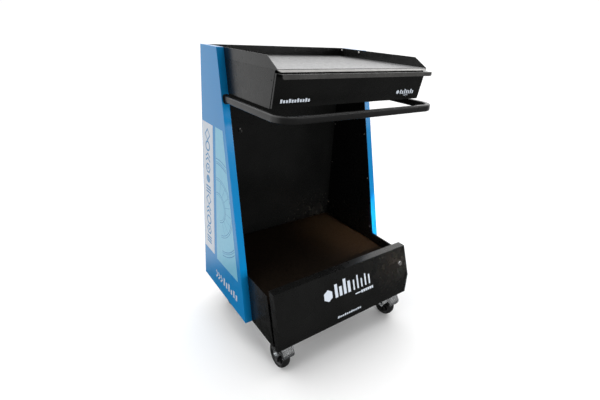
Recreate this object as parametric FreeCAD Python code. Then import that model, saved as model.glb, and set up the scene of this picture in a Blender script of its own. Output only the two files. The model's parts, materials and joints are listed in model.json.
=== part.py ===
import FreeCAD, Part
import math
import os

# Workshop diagnostics trolley: two sloped side columns, a worktop tray over a
# shallow drawer, an open equipment bay, a matted shelf over a lockable lower
# drawer, a wrap-round push handle and four swivel casters.
# Millimetres. +X right, +Z up, the front faces -Y. The origin is on the floor
# under the middle of the trolley. Side views are drawn as (forward, z) points,
# where forward is the distance from the rear plane towards the front.

# ---- driving dimensions -------------------------------------------------
WIDTH = 700.0
DEPTH = 568.0
HEIGHT = 1103.0
CLEARANCE = 128.0            # standard total height of a 100 mm wheel caster
SHEET = 1.5
BASE_SHEET = 3.0

COLUMN_WIDTH = 27.0
COLUMN_TOP_DEPTH = 144.0
COLUMN_FOOT_DEPTH = 384.0
COLUMN_RETURN = 25.0         # inner return flange that the wall screws hold

BOX_TOP = 303.0              # top of the lower box's walls
BOX_TOP_FRONT = 483.5
BOX_FOOT_FRONT = 542.0
SHELF_TOP = 262.5
SHELF_FRONT = 480.0
SHELF_LIP = 16.0
SHELF_LIP_END = 7.0          # from the lip's end to the box's wall
SHELF_MAT = 2.0
MAT_MARGIN = 1.0

BACK_FOLD = 6.5              # depth of the back panel's folded edges
HOOK_X = -191.0
HOOK_Z = 762.0
HOOK_REACH = 16.0
HOOK_WIRE_RADIUS = 2.0
HOOK_PLATE = (12.0, 24.0, 2.0)       # width, height, thickness

HOUSING_FLOOR = 951.0
HOUSING_TOP = 1066.5
HOUSING_FOOT_FRONT = 462.0
HOUSING_TOP_FRONT = 487.5
HOUSING_FLANGE = 14.0
TRAY_FLOOR = 1068.0
TRAY_FRONT = 497.5
TRAY_RIM_FRONT = 440.0
TRAY_LIP_FORWARD = 507.0
TRAY_LIP_FOOT = 1061.0
TRAY_LIP_CORNER = 9.0
WORKTOP_MAT = 1.7

TOP_FRONT_FOOT = (475.0, 953.0)      # outer face of the top drawer's front
TOP_FRONT_HEAD = (496.0, 1058.0)
TOP_FLANGE = 8.0
GRIP_FORWARD = 527.0
GRIP_DROP = 14.0
GRIP_HALF = 321.0
GRIP_CORNER = 5.0
TOP_BOX_FLOOR = 957.0
TOP_BOX_TOP = 1035.0
TOP_LINER_FRONT = 468.0

# rear foot, front foot, ridge, head and rear head of the lower drawer's front
LOWER_FRONT_OUTLINE = [(553.0, 128.0), (566.5, 128.0), (568.0, 214.5), (526.0, 334.0), (495.0, 334.0)]
LOWER_BOX_FLOOR = 140.0
LOWER_BOX_TOP = 240.0
LOWER_LINER_FRONT = 558.0
LINER = 2.0

DRAWER_REAR = 30.0
RAIL_SPACE = 13.0            # room for a slide between drawer side and wall
RAIL_HEIGHT = 45.0
RAIL_SHEET = 1.2
RAIL_LIP = 8.6
RAIL_BALL_GAP = 3.5
RAIL_THIN_LIP = 6.0          # lips of the middle and inner rails
RAIL_WEB_GAP = 1.5           # between the outer and middle webs
TOP_RAIL_LENGTH = 400.0
TOP_RAIL_FOOT = 974.0
LOWER_RAIL_LENGTH = 450.0
LOWER_RAIL_FOOT = 165.0

HANDLE_HEIGHT = 25.0
HANDLE_THICK = 18.0
HANDLE_CORNER = 6.0
HANDLE_WALL = 2.0
HANDLE_MIDDLE = 931.5
HANDLE_OUTER = 341.5
HANDLE_FRONT = 557.0
HANDLE_BEND = 50.0           # centreline radius
HANDLE_END = 70.0
SLEEVE_GAP = 3.2             # plastic round the arm, above and below it
SLEEVE_SIDE = 2.7            # plastic on the arm's outer side
SLEEVE_CORNER = 8.2
SLEEVE_PLAY = 0.3            # from the sleeve to the slot's edge
GROMMET_RIM = 1.5            # rim round the sleeve, in front of the slot
GROMMET_RIM_CORNER = 10.0
SLEEVE_DEPTH = 14.0
BRACKET_HEIGHT = 48.0
BRACKET_DEPTH = 42.0
BRACKET_FLOOR = 12.0         # behind the end of the arm

WHEEL_RADIUS = 50.0
WHEEL_WIDTH = 32.0
TREAD_THICK = 9.0
TREAD_SHOULDER = 11.0
HUB_LENGTH = 34.0
AXLE_RADIUS = 5.0
RUNNING_GAP = 0.08           # of what turns
THREAD_GAP = 0.05            # of nuts and square ends
CASTER_X = 272.0
CASTER_FORWARD = {"front": 470.0, "rear": 75.0}
TRAIL = 36.0
PLATE_THICK = 3.0
PLATE_X = 67.0
PLATE_Y = 95.0
BOLT_X = 45.0
BOLT_Y = 74.0
BOLT_RADIUS = 4.0
PLATE_CORNER = 8.0
RACE_HEIGHT = 5.6
RACE_RADII = (21.0, 25.0, 28.0)      # bore, outside below, outside above
KINGPIN_LENGTH = 12.0
KINGPIN_HEAD_RADIUS = 9.0
KINGPIN_HEAD = 3.0
FORK_DROP = 9.4              # from the base plate's underside down to the crown
FORK_SHEET = 2.5
FORK_HALF = 20.0             # outside of the fork's legs from the wheel's middle
FORK_REAR = 27.0             # crown behind and before the swivel axis
FORK_FRONT = 30.0
FORK_EYE_RADIUS = 13.0
BRAKE_REACH = 30.0           # how much further forward a braked fork's legs run
COLLAR_RADII = (12.0, 20.0)
COLLAR_HEIGHT = 5.0
NUT_RADIUS = 7.0             # across the corners of the M8 nuts and bolt heads, halved
BOLT_HEAD = 5.0
NUT_HEIGHT = 6.0
AXLE_HEAD_RADIUS = 8.0
AXLE_HEAD = 5.0
HUB_BOSS_RADIUS = 11.0
HUB_WEB_RADIUS = 14.0
HUB_WEB_HALF = 4.0

PEDAL_PIVOT = (36.0, 50.0)   # forward of and above the axle
PEDAL_PIN_RADIUS = 3.0
PEDAL_OUTER = 23.5           # cheeks' outside and inside from the wheel's middle
PEDAL_INNER = 20.6
PEDAL_RIB_HALF = 18.0
# side views of the pedal's pieces, forward of the axle and above the floor
PEDAL_CHEEK = [(27.0, 94.0), (57.0, 78.0), (59.0, 84.0), (58.0, 92.0), (43.0, 114.0), (30.0, 114.0)]
PEDAL_TREAD = [(42.0, 112.0), (57.0, 90.0), (59.0, 91.4), (44.0, 114.0)]
PEDAL_SPINE = [(51.0, 74.0), (54.0, 74.0), (54.0, 91.0), (51.0, 96.0)]
PEDAL_BAR = [(50.0, 89.0), (50.0, 86.0), (58.0, 86.0), (58.0, 89.0)]
PEDAL_BAR_DROPS = (0.0, 6.0, 12.0)
PEDAL_BAR_NARROWING = 0.15   # each bar is shorter by this share of its drop

LOCK_X = 286.0
LOCK_Z = 270.0
LOCK_BARREL_RADIUS = 8.0
LOCK_BEZEL_RADIUS = 10.0
LOCK_PLUG_RADIUS = 5.5
LOCK_DEPTH = 22.0
LOCK_BEZEL = 2.5
LOCK_BEZEL_SLOPE = 1.5
LOCK_NUT_RADIUS = 12.0
LOCK_NUT = 4.0
LOCK_TANG = 6.0              # square end of the plug
KEYWAY = (1.6, 7.0)
PLUG_PROUD = 2.0
CAM_LENGTH = 26.0
CAM_WIDTH = 13.0
CAM_THICK = 1.7
CAM_GAP = 0.3                # between the barrel's end and the cam
STRIKE_DEPTH = 4.5           # how far the strike stands in from the wall
STRIKE_ARM = 2.5
STRIKE_PAD = (440.0, 496.0, 245.0, 259.0)
STRIKE_OUTLINE = [(470.0, 248.0), (505.0, 248.0), (516.0, 258.0), (533.5, 258.0), (533.5, 276.0),
                  (505.0, 276.0), (496.0, 259.0), (470.0, 259.0)]
STRIKE_LIP_FROM_LOCK = 18.0

SCREW_HEIGHTS = (746.0, 549.0, 329.0)
SCREW_REAR = 12.0
SCREW_SETBACK = 13.0         # front screws behind the column's sloped edge
SCREW_RADIUS = 2.4
SCREW_HEAD_RADIUS = 4.6
SCREW_HEAD = 2.6
SCREW_LENGTH = 9.0
RIM_SCREW_FORWARD = (13.6, 129.0)
RIM_SCREW_Z = 1093.0

RIVET_HOLE_RADIUS = 1.8
RIVET_HOLE = (469.5, 1035.3)         # forward, z, in the housing's side edge
HOUSING_BEND = 1.6
HOUSING_BEND_DEPTH = 0.8

# ---- derived values -----------------------------------------------------
HALF = WIDTH / 2
BODY_HALF = HALF - COLUMN_WIDTH          # outside of the black inner body
INNER_HALF = BODY_HALF - SHEET           # inside of its walls
REAR_Y = DEPTH / 2
DRAWER_HALF = INNER_HALF - RAIL_SPACE
COLUMN_OUTLINE = [(0.0, CLEARANCE), (COLUMN_FOOT_DEPTH, CLEARANCE), (COLUMN_TOP_DEPTH, HEIGHT), (0.0, HEIGHT)]
COLUMN_SLOPE = (COLUMN_FOOT_DEPTH - COLUMN_TOP_DEPTH) / (HEIGHT - CLEARANCE)
BASE_TOP = CLEARANCE + BASE_SHEET
HANDLE_ARM_X = HANDLE_OUTER - HANDLE_THICK / 2
V = FreeCAD.Vector
X_AXIS = V(1, 0, 0)
Y_AXIS = V(0, 1, 0)
Z_AXIS = V(0, 0, 1)
FRONTWARD = V(0, -1, 0)


def column_edge(z):
    """Forward position of a column's sloped front edge at height z."""
    return COLUMN_TOP_DEPTH + COLUMN_SLOPE * (HEIGHT - z)


def point(x, forward, z):
    return V(x, REAR_Y - forward, z)


# ---- small geometry helpers ----------------------------------------------
def prism(profile, x0, x1):
    """Solid from x0 to x1 whose side view is the (forward, z) profile."""
    corners = [point(x0, f, z) for f, z in profile]
    face = Part.Face(Part.makePolygon(corners + corners[:1]))
    return face.extrude(V(x1 - x0, 0, 0))


def block(x0, x1, f0, f1, z0, z1):
    """Box between two x, two forward and two z values."""
    return Part.makeBox(x1 - x0, f1 - f0, z1 - z0, V(x0, REAR_Y - f1, z0))


def inset(profile, distances):
    """Counter-clockwise (forward, z) profile, each edge moved inwards by its distance."""
    count = len(profile)
    lines = []
    for i in range(count):
        (f0, z0), (f1, z1) = profile[i], profile[(i + 1) % count]
        length = math.hypot(f1 - f0, z1 - z0)
        normal = (-(z1 - z0) / length, (f1 - f0) / length)
        offset = normal[0] * f0 + normal[1] * z0 + distances[i]
        lines.append((normal, offset))
    corners = []
    for i in range(count):
        (a, b), e = lines[i - 1]
        (c, d), g = lines[i]
        det = a * d - b * c
        corners.append(((e * d - b * g) / det, (a * g - e * c) / det))
    return corners


def mirrored(shape):
    return shape.mirror(V(0, 0, 0), X_AXIS)


def both_sides(shape):
    return Part.makeCompound([shape, mirrored(shape)])


def cylinder(radius, length, base, direction):
    return Part.makeCylinder(radius, length, base, direction)


def hexagon_prism(radius, centre, direction, height):
    """Hexagonal bar from centre along direction, which is one of the axes."""
    across = V(direction.y, direction.z, direction.x)
    upward = direction.cross(across)
    corners = []
    for i in range(6):
        turn = math.radians(60 * i)
        corners.append(centre + radius * math.cos(turn) * across + radius * math.sin(turn) * upward)
    return Part.Face(Part.makePolygon(corners + corners[:1])).extrude(height * direction)


def fuse(shapes):
    return shapes[0].multiFuse(shapes[1:]).removeSplitter()


def rounded_rectangle(width, height, corner):
    """Face in the XZ plane, centred on the origin, with round corners."""
    half_w = width / 2
    half_h = height / 2
    slab = Part.makeBox(width, 1, height, V(-half_w, 0, -half_h))
    upright = [e for e in slab.Edges if abs(e.tangentAt(e.FirstParameter).y) > 0.5]
    slab = slab.makeFillet(corner, upright)
    return [f for f in slab.Faces if f.Surface.TypeId == "Part::GeomPlane" and f.CenterOfMass.y < 1e-6][0]


def save(name, shape):
    """Write one sub-part's solids to its own file."""
    solids = shape.Solids
    result = solids[0] if len(solids) == 1 else Part.makeCompound(solids)
    result.exportStep(os.path.join("parts", name + ".step"))


# ---- side columns and walls ------------------------------------------------
def screw_places():
    """(forward, z) of the wall screws of one side."""
    rear = [(SCREW_REAR, z) for z in SCREW_HEIGHTS]
    front = [(column_edge(z) - SCREW_SETBACK, z) for z in SCREW_HEIGHTS]
    return rear + front


def screw_holes(places):
    """Clearance holes through the walls near x = BODY_HALF."""
    start = INNER_HALF - 1
    length = COLUMN_WIDTH / 2
    return [cylinder(SCREW_RADIUS + 0.1, length, point(start, f, z), X_AXIS) for f, z in places]


def handle_slot():
    """Round-cornered opening in the column's front strip where the handle's arm goes in."""
    edge = column_edge(HANDLE_MIDDLE)
    depth = block(BODY_HALF, HALF, edge - COLUMN_RETURN - 9, edge + 10, 0, HEIGHT)
    half_width = HANDLE_THICK / 2 + SLEEVE_SIDE + SLEEVE_PLAY
    half_height = HANDLE_HEIGHT / 2 + SLEEVE_GAP + SLEEVE_PLAY
    return depth.common(arm_prism(half_width, half_height, SLEEVE_CORNER + SLEEVE_PLAY))


def side_cladding():
    """Folded sheet column with a return flange round its inner side."""
    outer = prism(COLUMN_OUTLINE, BODY_HALF, HALF)
    hollow = prism(inset(COLUMN_OUTLINE, [SHEET] * 4), BODY_HALF + SHEET, HALF - SHEET)
    window = prism(inset(COLUMN_OUTLINE, [COLUMN_RETURN] * 4), BODY_HALF, BODY_HALF + SHEET)
    rim_places = [(f, RIM_SCREW_Z) for f in RIM_SCREW_FORWARD]
    return outer.cut([hollow, window, handle_slot()] + screw_holes(screw_places() + rim_places))


def inner_wall():
    """Flat side sheet of the equipment bay, between the lower box and the drawer housing."""
    outline = [(0, BOX_TOP), (column_edge(BOX_TOP), BOX_TOP), (column_edge(HOUSING_FLOOR), HOUSING_FLOOR),
               (0, HOUSING_FLOOR)]
    return prism(outline, INNER_HALF, BODY_HALF).cut(screw_holes(screw_places()))


def back_panel():
    """Rear sheet of the bay, its four edges folded back to the rear plane."""
    outer = block(-INNER_HALF, INNER_HALF, 0, BACK_FOLD, BOX_TOP, HOUSING_FLOOR)
    hollow = block(-INNER_HALF + SHEET, INNER_HALF - SHEET, -1, BACK_FOLD - SHEET,
                   BOX_TOP + SHEET, HOUSING_FLOOR - SHEET)
    return outer.cut(hollow)


def cable_hook():
    """Small screwed plate with an upturned hook, on the back panel."""
    width, height, thick = HOOK_PLATE
    plate = block(HOOK_X - width / 2, HOOK_X + width / 2, BACK_FOLD, BACK_FOLD + thick,
                  HOOK_Z - height / 2, HOOK_Z + height / 2)
    root = point(HOOK_X, BACK_FOLD, HOOK_Z - height / 6)
    bend = root + HOOK_REACH * FRONTWARD
    stem = cylinder(HOOK_WIRE_RADIUS, HOOK_REACH, root, FRONTWARD)
    tip = cylinder(HOOK_WIRE_RADIUS, HOOK_REACH * 0.7, bend, Z_AXIS)
    knuckle = Part.makeSphere(HOOK_WIRE_RADIUS, bend)
    screw = point(HOOK_X, BACK_FOLD, HOOK_Z + height * 0.3)
    head = cylinder(HOOK_WIRE_RADIUS * 1.6, thick + 1.4, screw, FRONTWARD)
    return fuse([plate, stem, tip, knuckle, head])


# ---- lower box, base and shelf ---------------------------------------------
def base_box():
    """Two sloped-front side sheets and the rear sheet of the lower box."""
    outline = [(0, CLEARANCE), (BOX_FOOT_FRONT, CLEARANCE), (BOX_TOP_FRONT, BOX_TOP), (0, BOX_TOP)]
    outer = prism(outline, -BODY_HALF, BODY_HALF)
    hollow = block(-INNER_HALF, INNER_HALF, SHEET, DEPTH, CLEARANCE - 1, BOX_TOP + 1)
    return outer.cut(hollow)


def base_plate():
    """Thick floor that the casters are bolted to."""
    plate = block(-INNER_HALF, INNER_HALF, SHEET, BOX_FOOT_FRONT - 4, CLEARANCE, BASE_TOP)
    return plate.cut([cylinder(BOLT_RADIUS + 0.3, 20, p - V(0, 0, 10), Z_AXIS) for p in bolt_places()])


def shelf():
    """Fixed shelf over the lower drawer, its front edge folded down."""
    top = block(-INNER_HALF, INNER_HALF, SHEET, SHELF_FRONT, SHELF_TOP - SHEET, SHELF_TOP)
    lip_half = INNER_HALF - SHELF_LIP_END
    lip = block(-lip_half, lip_half, SHELF_FRONT - SHEET, SHELF_FRONT, SHELF_TOP - SHELF_LIP, SHELF_TOP)
    return fuse([top, lip])


def shelf_mat():
    side = INNER_HALF - MAT_MARGIN
    return block(-side, side, BACK_FOLD + MAT_MARGIN, SHELF_FRONT - MAT_MARGIN,
                 SHELF_TOP, SHELF_TOP + SHELF_MAT)


# ---- drawer housing and worktop --------------------------------------------
def drawer_housing():
    """Folded housing round the top drawer: floor, sides, rear and top flanges."""
    outline = [(0, HOUSING_FLOOR), (HOUSING_FOOT_FRONT, HOUSING_FLOOR), (HOUSING_TOP_FRONT, HOUSING_TOP),
               (0, HOUSING_TOP)]
    outer = prism(outline, -BODY_HALF, BODY_HALF)
    hollow = block(-INNER_HALF, INNER_HALF, SHEET, DEPTH, HOUSING_FLOOR + SHEET, HOUSING_TOP - SHEET)
    gap = INNER_HALF - HOUSING_FLANGE
    mouth = block(-gap, gap, HOUSING_FLANGE, DEPTH, HOUSING_TOP - 2 * SHEET, HOUSING_TOP + 1)
    low = HOUSING_TOP - HOUSING_BEND
    fold = block(BODY_HALF - HOUSING_BEND_DEPTH, BODY_HALF + 1, -1, DEPTH, low, HOUSING_TOP + 1)
    rivet = cylinder(RIVET_HOLE_RADIUS, 4, point(INNER_HALF - 1, *RIVET_HOLE), X_AXIS)
    return outer.cut([hollow, mouth, fold, mirrored(fold), rivet, mirrored(rivet)])


def worktop_tray():
    """Tray with a rear rim, two side rims cut down at the front, and a sloped front lip."""
    base = TRAY_FLOOR - SHEET
    rim = [(0, base), (TRAY_FRONT, base), (TRAY_FRONT, TRAY_FLOOR + 1.5), (TRAY_RIM_FRONT, HEIGHT),
           (0, HEIGHT)]
    outer = prism(rim, -BODY_HALF, BODY_HALF)
    inside = block(-INNER_HALF, INNER_HALF, SHEET, DEPTH, TRAY_FLOOR, HEIGHT + 1)
    tray = outer.cut(inside)
    lip = [(TRAY_FRONT - 2, base), (TRAY_FRONT, base), (TRAY_LIP_FORWARD - 1, TRAY_LIP_FOOT),
           (TRAY_LIP_FORWARD, TRAY_LIP_FOOT + 1.2), (TRAY_FRONT, TRAY_FLOOR), (TRAY_FRONT - 2, TRAY_FLOOR)]
    lip_sheet = prism(lip, -BODY_HALF, BODY_HALF)
    inner = BODY_HALF - TRAY_LIP_CORNER
    plan = [(BODY_HALF + 1, TRAY_FRONT), (BODY_HALF + 1, DEPTH), (inner, DEPTH), (inner, TRAY_LIP_FORWARD),
            (BODY_HALF, TRAY_FRONT)]
    corners = [point(x, f, HOUSING_FLOOR) for x, f in plan]
    wedge = Part.Face(Part.makePolygon(corners + corners[:1])).extrude(V(0, 0, HEIGHT - HOUSING_FLOOR))
    tray = fuse([tray, lip_sheet.cut([wedge, mirrored(wedge)])])
    holes = screw_holes([(f, RIM_SCREW_Z) for f in RIM_SCREW_FORWARD])
    return tray.cut(holes + [mirrored(h) for h in holes])


def worktop_mat():
    side = INNER_HALF - MAT_MARGIN
    return block(-side, side, SHEET + MAT_MARGIN, TRAY_FRONT - 2.5, TRAY_FLOOR, TRAY_FLOOR + WORKTOP_MAT)


# ---- screws ----------------------------------------------------------------
def pan_screw(forward, z):
    """Pan-head screw through the wall into the column's return flange."""
    shank = cylinder(SCREW_RADIUS, SCREW_LENGTH, point(INNER_HALF, forward, z), X_AXIS)
    head = cylinder(SCREW_HEAD_RADIUS, SCREW_HEAD, point(INNER_HALF, forward, z), -X_AXIS)
    rim = [e for e in head.Edges if e.BoundBox.XMax < INNER_HALF - SCREW_HEAD + 0.1 and len(e.Vertexes) == 1]
    head = head.makeFillet(1.4, rim)
    return fuse([shank, head])


def screw_group(places):
    screws = [pan_screw(f, z) for f, z in places]
    return Part.makeCompound(screws + [mirrored(s) for s in screws])


# ---- push handle -----------------------------------------------------------
def handle_solid(shrink):
    """U-shaped tube outline, made smaller all round by shrink."""
    size = (HANDLE_THICK - 2 * shrink, HANDLE_HEIGHT - 2 * shrink)
    section = rounded_rectangle(size[0], size[1], HANDLE_CORNER - shrink)
    front = HANDLE_FRONT - HANDLE_THICK / 2
    turn = front - HANDLE_BEND
    arm_face = section.translated(point(HANDLE_ARM_X, HANDLE_END, HANDLE_MIDDLE))
    arm = arm_face.extrude(V(0, -(turn - HANDLE_END), 0))
    bend_face = section.translated(point(HANDLE_ARM_X, turn, HANDLE_MIDDLE))
    pivot = point(HANDLE_ARM_X - HANDLE_BEND, turn, HANDLE_MIDDLE)
    bend = bend_face.revolve(pivot, Z_AXIS, -90)
    bar_face = section.copy()
    bar_face.rotate(V(0, 0, 0), Z_AXIS, 90)
    bar_face = bar_face.translated(point(-pivot.x, front, HANDLE_MIDDLE))
    bar = bar_face.extrude(V(2 * pivot.x, 0, 0))
    return fuse([arm, bend, bar, mirrored(arm), mirrored(bend)])


def push_handle():
    return handle_solid(0).cut(handle_solid(HANDLE_WALL))


def arm_prism(half_width, half_height, corner):
    """Round-cornered bar along the handle's arm, centred on it."""
    section = rounded_rectangle(2 * half_width, 2 * half_height, corner)
    return section.translated(point(HANDLE_ARM_X, 0, HANDLE_MIDDLE)).extrude(V(0, -300, 0))


def arm_clearance(gap):
    """Straight solid a little larger than the handle's arm."""
    return arm_prism(HANDLE_THICK / 2 + gap, HANDLE_HEIGHT / 2 + gap, HANDLE_CORNER + gap)


def handle_grommet():
    """Round-cornered plastic sleeve that closes the slot round the handle's arm."""
    half_width = HANDLE_THICK / 2 + SLEEVE_SIDE
    half_height = HANDLE_HEIGHT / 2 + SLEEVE_GAP
    low = HANDLE_MIDDLE - half_height
    high = HANDLE_MIDDLE + half_height
    sleeve = prism([(column_edge(low) - SLEEVE_DEPTH, low), (column_edge(low) + 0.1, low),
                    (column_edge(high) + 0.1, high), (column_edge(high) - SLEEVE_DEPTH, high)],
                   BODY_HALF + 0.2, HANDLE_ARM_X + half_width)
    sleeve = sleeve.common(arm_prism(half_width, half_height, SLEEVE_CORNER))
    half_width += GROMMET_RIM
    half_height += GROMMET_RIM
    low -= GROMMET_RIM
    high += GROMMET_RIM
    rim = prism([(column_edge(low) + 0.05, low), (column_edge(low) + 1.6, low),
                 (column_edge(high) + 1.6, high), (column_edge(high) + 0.05, high)],
                BODY_HALF + 0.2, HANDLE_ARM_X + half_width)
    rim = rim.common(arm_prism(half_width, half_height, GROMMET_RIM_CORNER))
    return fuse([sleeve, rim]).cut(arm_clearance(0.1))


def handle_bracket():
    """Socket block inside the column that holds the end of the handle's arm."""
    rear = HANDLE_END - BRACKET_FLOOR
    body = block(BODY_HALF, HALF - SHEET, rear, rear + BRACKET_DEPTH,
                 HANDLE_MIDDLE - BRACKET_HEIGHT / 2, HANDLE_MIDDLE + BRACKET_HEIGHT / 2)
    pocket = arm_clearance(0.1).common(block(0, HALF, HANDLE_END, DEPTH, HOUSING_FLOOR - 100, HEIGHT))
    return body.cut(pocket)


# ---- drawer slides ---------------------------------------------------------
def channel(x_web, direction, height, lip, foot, rear, length):
    """C-shaped rail; its web is at x_web and its lips point along direction (+1 or -1)."""
    lo, hi = sorted((x_web, x_web + direction * RAIL_SHEET))
    tip = x_web + direction * (RAIL_SHEET + lip)
    near, far = sorted((x_web, tip))
    web = block(lo, hi, rear, rear + length, foot, foot + height)
    lower = block(near, far, rear, rear + length, foot, foot + RAIL_SHEET)
    upper = block(near, far, rear, rear + length, foot + height - RAIL_SHEET, foot + height)
    return fuse([web, lower, upper])


def slide_rails(foot, length):
    """Outer, middle and inner rail of the right-hand slide."""
    step = RAIL_SHEET + RAIL_BALL_GAP
    rear = DRAWER_REAR
    outer = channel(INNER_HALF, -1, RAIL_HEIGHT, RAIL_LIP, foot, rear, length)
    middle_web = INNER_HALF - RAIL_SHEET - RAIL_WEB_GAP
    middle = channel(middle_web, -1, RAIL_HEIGHT - 2 * step, RAIL_THIN_LIP, foot + step, rear, length)
    inner = channel(DRAWER_HALF, 1, RAIL_HEIGHT - 4 * step, RAIL_THIN_LIP, foot + 2 * step, rear, length)
    return outer, middle, inner


# ---- top drawer ------------------------------------------------------------
def top_front_line(z, back=0.0):
    """Forward position of the top drawer front's outer face at height z, less back."""
    (f0, z0), (f1, z1) = TOP_FRONT_FOOT, TOP_FRONT_HEAD
    return f0 + (f1 - f0) * (z - z0) / (z1 - z0) - back


def top_drawer_front():
    """Leaning front sheet with folded edges and a turned-down finger grip."""
    foot = TOP_FRONT_FOOT[1]
    head = TOP_FRONT_HEAD[1]
    outline = [(top_front_line(foot, TOP_FLANGE), foot), (top_front_line(foot), foot),
               (top_front_line(head), head), (top_front_line(head, TOP_FLANGE), head)]
    outer = prism(outline, -BODY_HALF, BODY_HALF)
    hollow = prism(inset(outline, [SHEET, SHEET, SHEET, -5]), -INNER_HALF, INNER_HALF)
    shell = outer.cut(hollow)
    top = block(-GRIP_HALF, GRIP_HALF, top_front_line(head, SHEET), GRIP_FORWARD, head - SHEET, head)
    edge = block(-GRIP_HALF, GRIP_HALF, GRIP_FORWARD - SHEET, GRIP_FORWARD, head - GRIP_DROP, head)
    corners = [e for e in edge.Edges if abs(e.tangentAt(e.FirstParameter).y) > 0.5]
    edge = edge.makeFillet(GRIP_CORNER, [e for e in corners if e.CenterOfMass.z < head - SHEET])
    return fuse([shell, top, edge])


def top_drawer_box():
    """Open tray of the top drawer; the leaning front closes its front end."""
    (f0, z0), (f1, z1) = TOP_FRONT_FOOT, TOP_FRONT_HEAD
    back = SHEET * math.hypot(f1 - f0, z1 - z0) / (z1 - z0)
    outline = [(DRAWER_REAR, TOP_BOX_FLOOR), (top_front_line(TOP_BOX_FLOOR, back), TOP_BOX_FLOOR),
               (top_front_line(TOP_BOX_TOP, back), TOP_BOX_TOP), (DRAWER_REAR, TOP_BOX_TOP)]
    outer = prism(outline, -DRAWER_HALF, DRAWER_HALF)
    hollow = block(-DRAWER_HALF + SHEET, DRAWER_HALF - SHEET, DRAWER_REAR + SHEET, DEPTH,
                   TOP_BOX_FLOOR + SHEET, TOP_BOX_TOP + 1)
    return outer.cut(hollow)


def drawer_liner(floor, front):
    inside = DRAWER_HALF - SHEET - MAT_MARGIN
    rear = DRAWER_REAR + SHEET + MAT_MARGIN
    return block(-inside, inside, rear, front, floor + SHEET, floor + SHEET + LINER)


# ---- lower drawer ----------------------------------------------------------
def lock_frame(shape):
    """Turn a shape made round the -Y axis into the lock's place on the sloped upper face."""
    (f0, z0), (f1, z1) = LOWER_FRONT_OUTLINE[2], LOWER_FRONT_OUTLINE[3]
    lean = math.degrees(math.atan2(f0 - f1, z1 - z0))
    forward = f0 + (f1 - f0) * (LOCK_Z - z0) / (z1 - z0)
    placed = shape.copy()
    placed.rotate(V(0, 0, 0), X_AXIS, -lean)
    return placed.translated(point(LOCK_X, forward, LOCK_Z))


def lower_drawer_front():
    """Ridged front shell, open at the back, with a hole for the lock."""
    outer = prism(LOWER_FRONT_OUTLINE, -BODY_HALF, BODY_HALF)
    inside = inset(LOWER_FRONT_OUTLINE, [SHEET, SHEET, SHEET, SHEET, -20])
    hollow = prism(inside, -INNER_HALF, INNER_HALF)
    hole = lock_frame(cylinder(LOCK_BARREL_RADIUS + 0.2, 20, V(0, 10, 0), FRONTWARD))
    return outer.cut([hollow, hole])


def lower_drawer_box():
    """Open tray of the lower drawer; its sides run forward into the front shell."""
    inside = inset(LOWER_FRONT_OUTLINE, [SHEET, SHEET, SHEET, SHEET, -600])
    reach = prism(inside, -BODY_HALF, BODY_HALF)
    outer = block(-DRAWER_HALF, DRAWER_HALF, DRAWER_REAR, DEPTH, LOWER_BOX_FLOOR, LOWER_BOX_TOP)
    hollow = block(-DRAWER_HALF + SHEET, DRAWER_HALF - SHEET, DRAWER_REAR + SHEET, DEPTH + 1,
                   LOWER_BOX_FLOOR + SHEET, LOWER_BOX_TOP + 1)
    return outer.cut(hollow).common(reach)


def lock_barrel():
    """Threaded housing with its bezel; the plug turns inside it."""
    body = cylinder(LOCK_BARREL_RADIUS, LOCK_DEPTH, V(0, 0, 0), Y_AXIS)
    rim = LOCK_BEZEL_RADIUS - LOCK_BEZEL_SLOPE
    bezel = Part.makeCone(LOCK_BEZEL_RADIUS, rim, LOCK_BEZEL, V(0, 0, 0), FRONTWARD)
    bore = cylinder(LOCK_PLUG_RADIUS + RUNNING_GAP, LOCK_DEPTH + 10, V(0, -5, 0), Y_AXIS)
    return lock_frame(fuse([body, bezel]).cut(bore))


def lock_nut():
    """Thin nut that holds the barrel behind the sheet."""
    nut = hexagon_prism(LOCK_NUT_RADIUS, V(0, SHEET, 0), Y_AXIS, LOCK_NUT)
    return lock_frame(nut.cut(cylinder(LOCK_BARREL_RADIUS + THREAD_GAP, 10, V(0, 0, 0), Y_AXIS)))


def lock_plug():
    """Turning plug with a keyway, and the square end that carries the cam."""
    body = cylinder(LOCK_PLUG_RADIUS, LOCK_DEPTH + PLUG_PROUD, V(0, -PLUG_PROUD, 0), Y_AXIS)
    width, height = KEYWAY
    keyway = Part.makeBox(width, 8, height, V(-width / 2, -PLUG_PROUD - 1, -height / 2))
    half = LOCK_TANG / 2
    tang = Part.makeBox(LOCK_TANG, CAM_GAP + CAM_THICK + 2, LOCK_TANG, V(-half, LOCK_DEPTH, -half))
    return lock_frame(fuse([body, tang]).cut(keyway))


def lock_cam():
    """Flat cam on the plug's end, pointing down when the lock is open."""
    start = LOCK_DEPTH + CAM_GAP
    blade = Part.makeBox(CAM_WIDTH, CAM_THICK, CAM_LENGTH, V(-CAM_WIDTH / 2, start, -CAM_LENGTH))
    eye = cylinder(CAM_WIDTH / 2 + 1, CAM_THICK, V(0, start, 0), Y_AXIS)
    side = LOCK_TANG + 2 * THREAD_GAP
    square = Part.makeBox(side, 10, side, V(-side / 2, LOCK_DEPTH - 3, -side / 2))
    return lock_frame(fuse([blade, eye]).cut(square))


def lock_strike():
    """Bracket on the box's right side whose lip the turned cam sits behind."""
    inner = INNER_HALF - STRIKE_DEPTH
    pad = block(inner, INNER_HALF, *STRIKE_PAD)
    arm = prism(STRIKE_OUTLINE, inner, inner + STRIKE_ARM)
    (front, low), (_, high) = STRIKE_OUTLINE[3], STRIKE_OUTLINE[4]
    lip = block(LOCK_X + STRIKE_LIP_FROM_LOCK, inner + 1, front - STRIKE_ARM, front, low, high)
    return fuse([pad, arm, lip])


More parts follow.
